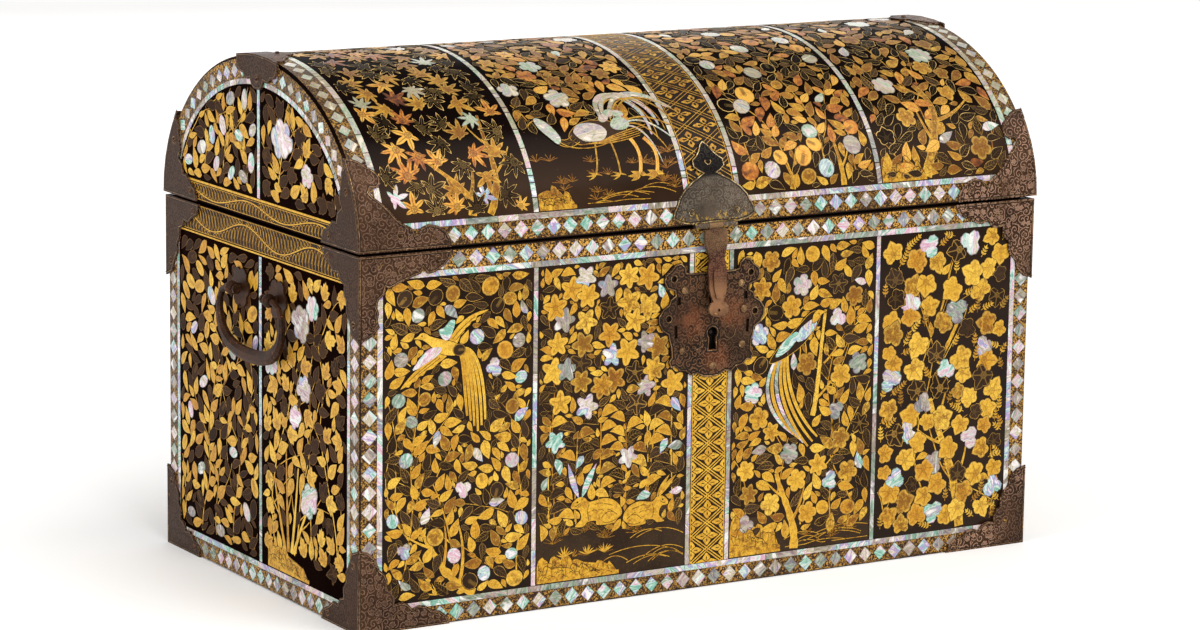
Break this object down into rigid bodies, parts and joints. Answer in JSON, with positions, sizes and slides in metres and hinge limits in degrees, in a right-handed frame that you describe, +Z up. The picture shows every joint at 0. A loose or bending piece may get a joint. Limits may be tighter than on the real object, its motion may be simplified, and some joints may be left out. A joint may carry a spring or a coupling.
{
  "type": "lacquer coffer",
  "caption": "Rectangular lacquered wooden coffer with a barrel-vaulted hinged lid, sheet copper corner fittings, a front hasp and lock plate, and a swinging bail handle on each end.",
  "frame": {"origin": "centre of the underside of the body, on the plane that the coffer stands on", "axes": "+X to the right as seen from the front along the coffer's length, +Y from front to back, +Z up"},
  "size_m": [0.5028, 0.2725, 0.3276],
  "materials": {
    "lacquered_wood": "polished dark brown-black lacquer with gold sprinkled pictures and shell inlay",
    "engraved_copper": "brown patinated sheet copper with engraved scrolls",
    "gilt_copper": "worn gilt copper, chased",
    "dark_copper": "dark grey-brown patinated copper",
    "lock_iron": "dull dark iron"
  },
  "bodies": {
    "coffer_body": {"body_back_board": "lacquered_wood", "body_bottom_board": "lacquered_wood", "body_front_board": "lacquered_wood", "body_left_end_board": "lacquered_wood", "body_right_end_board": "lacquered_wood", "corner_bottom_back_left": "engraved_copper", "corner_bottom_back_right": "engraved_copper", "corner_bottom_front_left": "engraved_copper", "corner_bottom_front_right": "engraved_copper", "corner_top_back_left": "engraved_copper", "corner_top_back_right": "engraved_copper", "corner_top_front_left": "engraved_copper", "corner_top_front_right": "engraved_copper", "handle_left_plate_back": "engraved_copper", "handle_left_plate_front": "engraved_copper", "handle_left_post_back": "engraved_copper", "handle_left_post_front": "engraved_copper", "handle_right_plate_back": "engraved_copper", "handle_right_plate_front": "engraved_copper", "handle_right_post_back": "engraved_copper", "handle_right_post_front": "engraved_copper", "hinge_left_body_leaf": "engraved_copper", "hinge_left_pin": "engraved_copper", "hinge_right_body_leaf": "engraved_copper", "hinge_right_pin": "engraved_copper", "lock_case": "lock_iron", "lock_key_pin": "lock_iron", "lock_plate": "engraved_copper", "lock_plate_nail_1": "engraved_copper", "lock_plate_nail_2": "engraved_copper", "lock_plate_nail_3": "engraved_copper", "lock_plate_nail_4": "engraved_copper", "lock_plate_nail_5": "engraved_copper", "lock_plate_nail_6": "engraved_copper", "lock_spring": "lock_iron"},
    "lid": {"corner_lid_back_left": "engraved_copper", "corner_lid_back_right": "engraved_copper", "corner_lid_front_left": "engraved_copper", "corner_lid_front_right": "engraved_copper", "crown_mount_left": "engraved_copper", "crown_mount_right": "engraved_copper", "hasp_pin": "dark_copper", "hasp_plate": "dark_copper", "hinge_left_lid_leaf": "engraved_copper", "hinge_right_lid_leaf": "engraved_copper", "lid_left_end_board": "lacquered_wood", "lid_right_end_board": "lacquered_wood", "lid_stave_1": "lacquered_wood", "lid_stave_2": "lacquered_wood", "lid_stave_3": "lacquered_wood", "lid_stave_4": "lacquered_wood", "lid_stave_5": "lacquered_wood", "lid_stave_6": "lacquered_wood", "lid_stave_7": "lacquered_wood"},
    "hasp": {"hasp": "gilt_copper"},
    "handle_left": {"handle_left_bail": "engraved_copper"},
    "handle_right": {"handle_right_bail": "engraved_copper"},
    "lock_bolt": {"lock_bolt": "lock_iron"}
  },
  "joints": [
    {"name": "lid_hinge", "type": "hinge", "parent": "coffer_body", "child": "lid", "pos_m": [0, 0.1326, 0.225], "axis": [-1, 0, 0], "range_deg": [0, 100]},
    {"name": "hasp_hinge", "type": "hinge", "parent": "lid", "child": "hasp", "pos_m": [0, -0.1312, 0.2252], "axis": [-1, 0, 0], "range_deg": [-5.5, 145]},
    {"name": "handle_left_hinge", "type": "hinge", "parent": "coffer_body", "child": "handle_left", "pos_m": [-0.247, 0, 0.182], "axis": [0, 1, 0], "range_deg": [-5, 175]},
    {"name": "handle_right_hinge", "type": "hinge", "parent": "coffer_body", "child": "handle_right", "pos_m": [0.247, 0, 0.182], "axis": [0, -1, 0], "range_deg": [-5, 175]},
    {"name": "lock_bolt_slide", "type": "slide", "parent": "coffer_body", "child": "lock_bolt", "axis": [1, 0, 0], "range_m": [0, 0.008]}
  ]
}
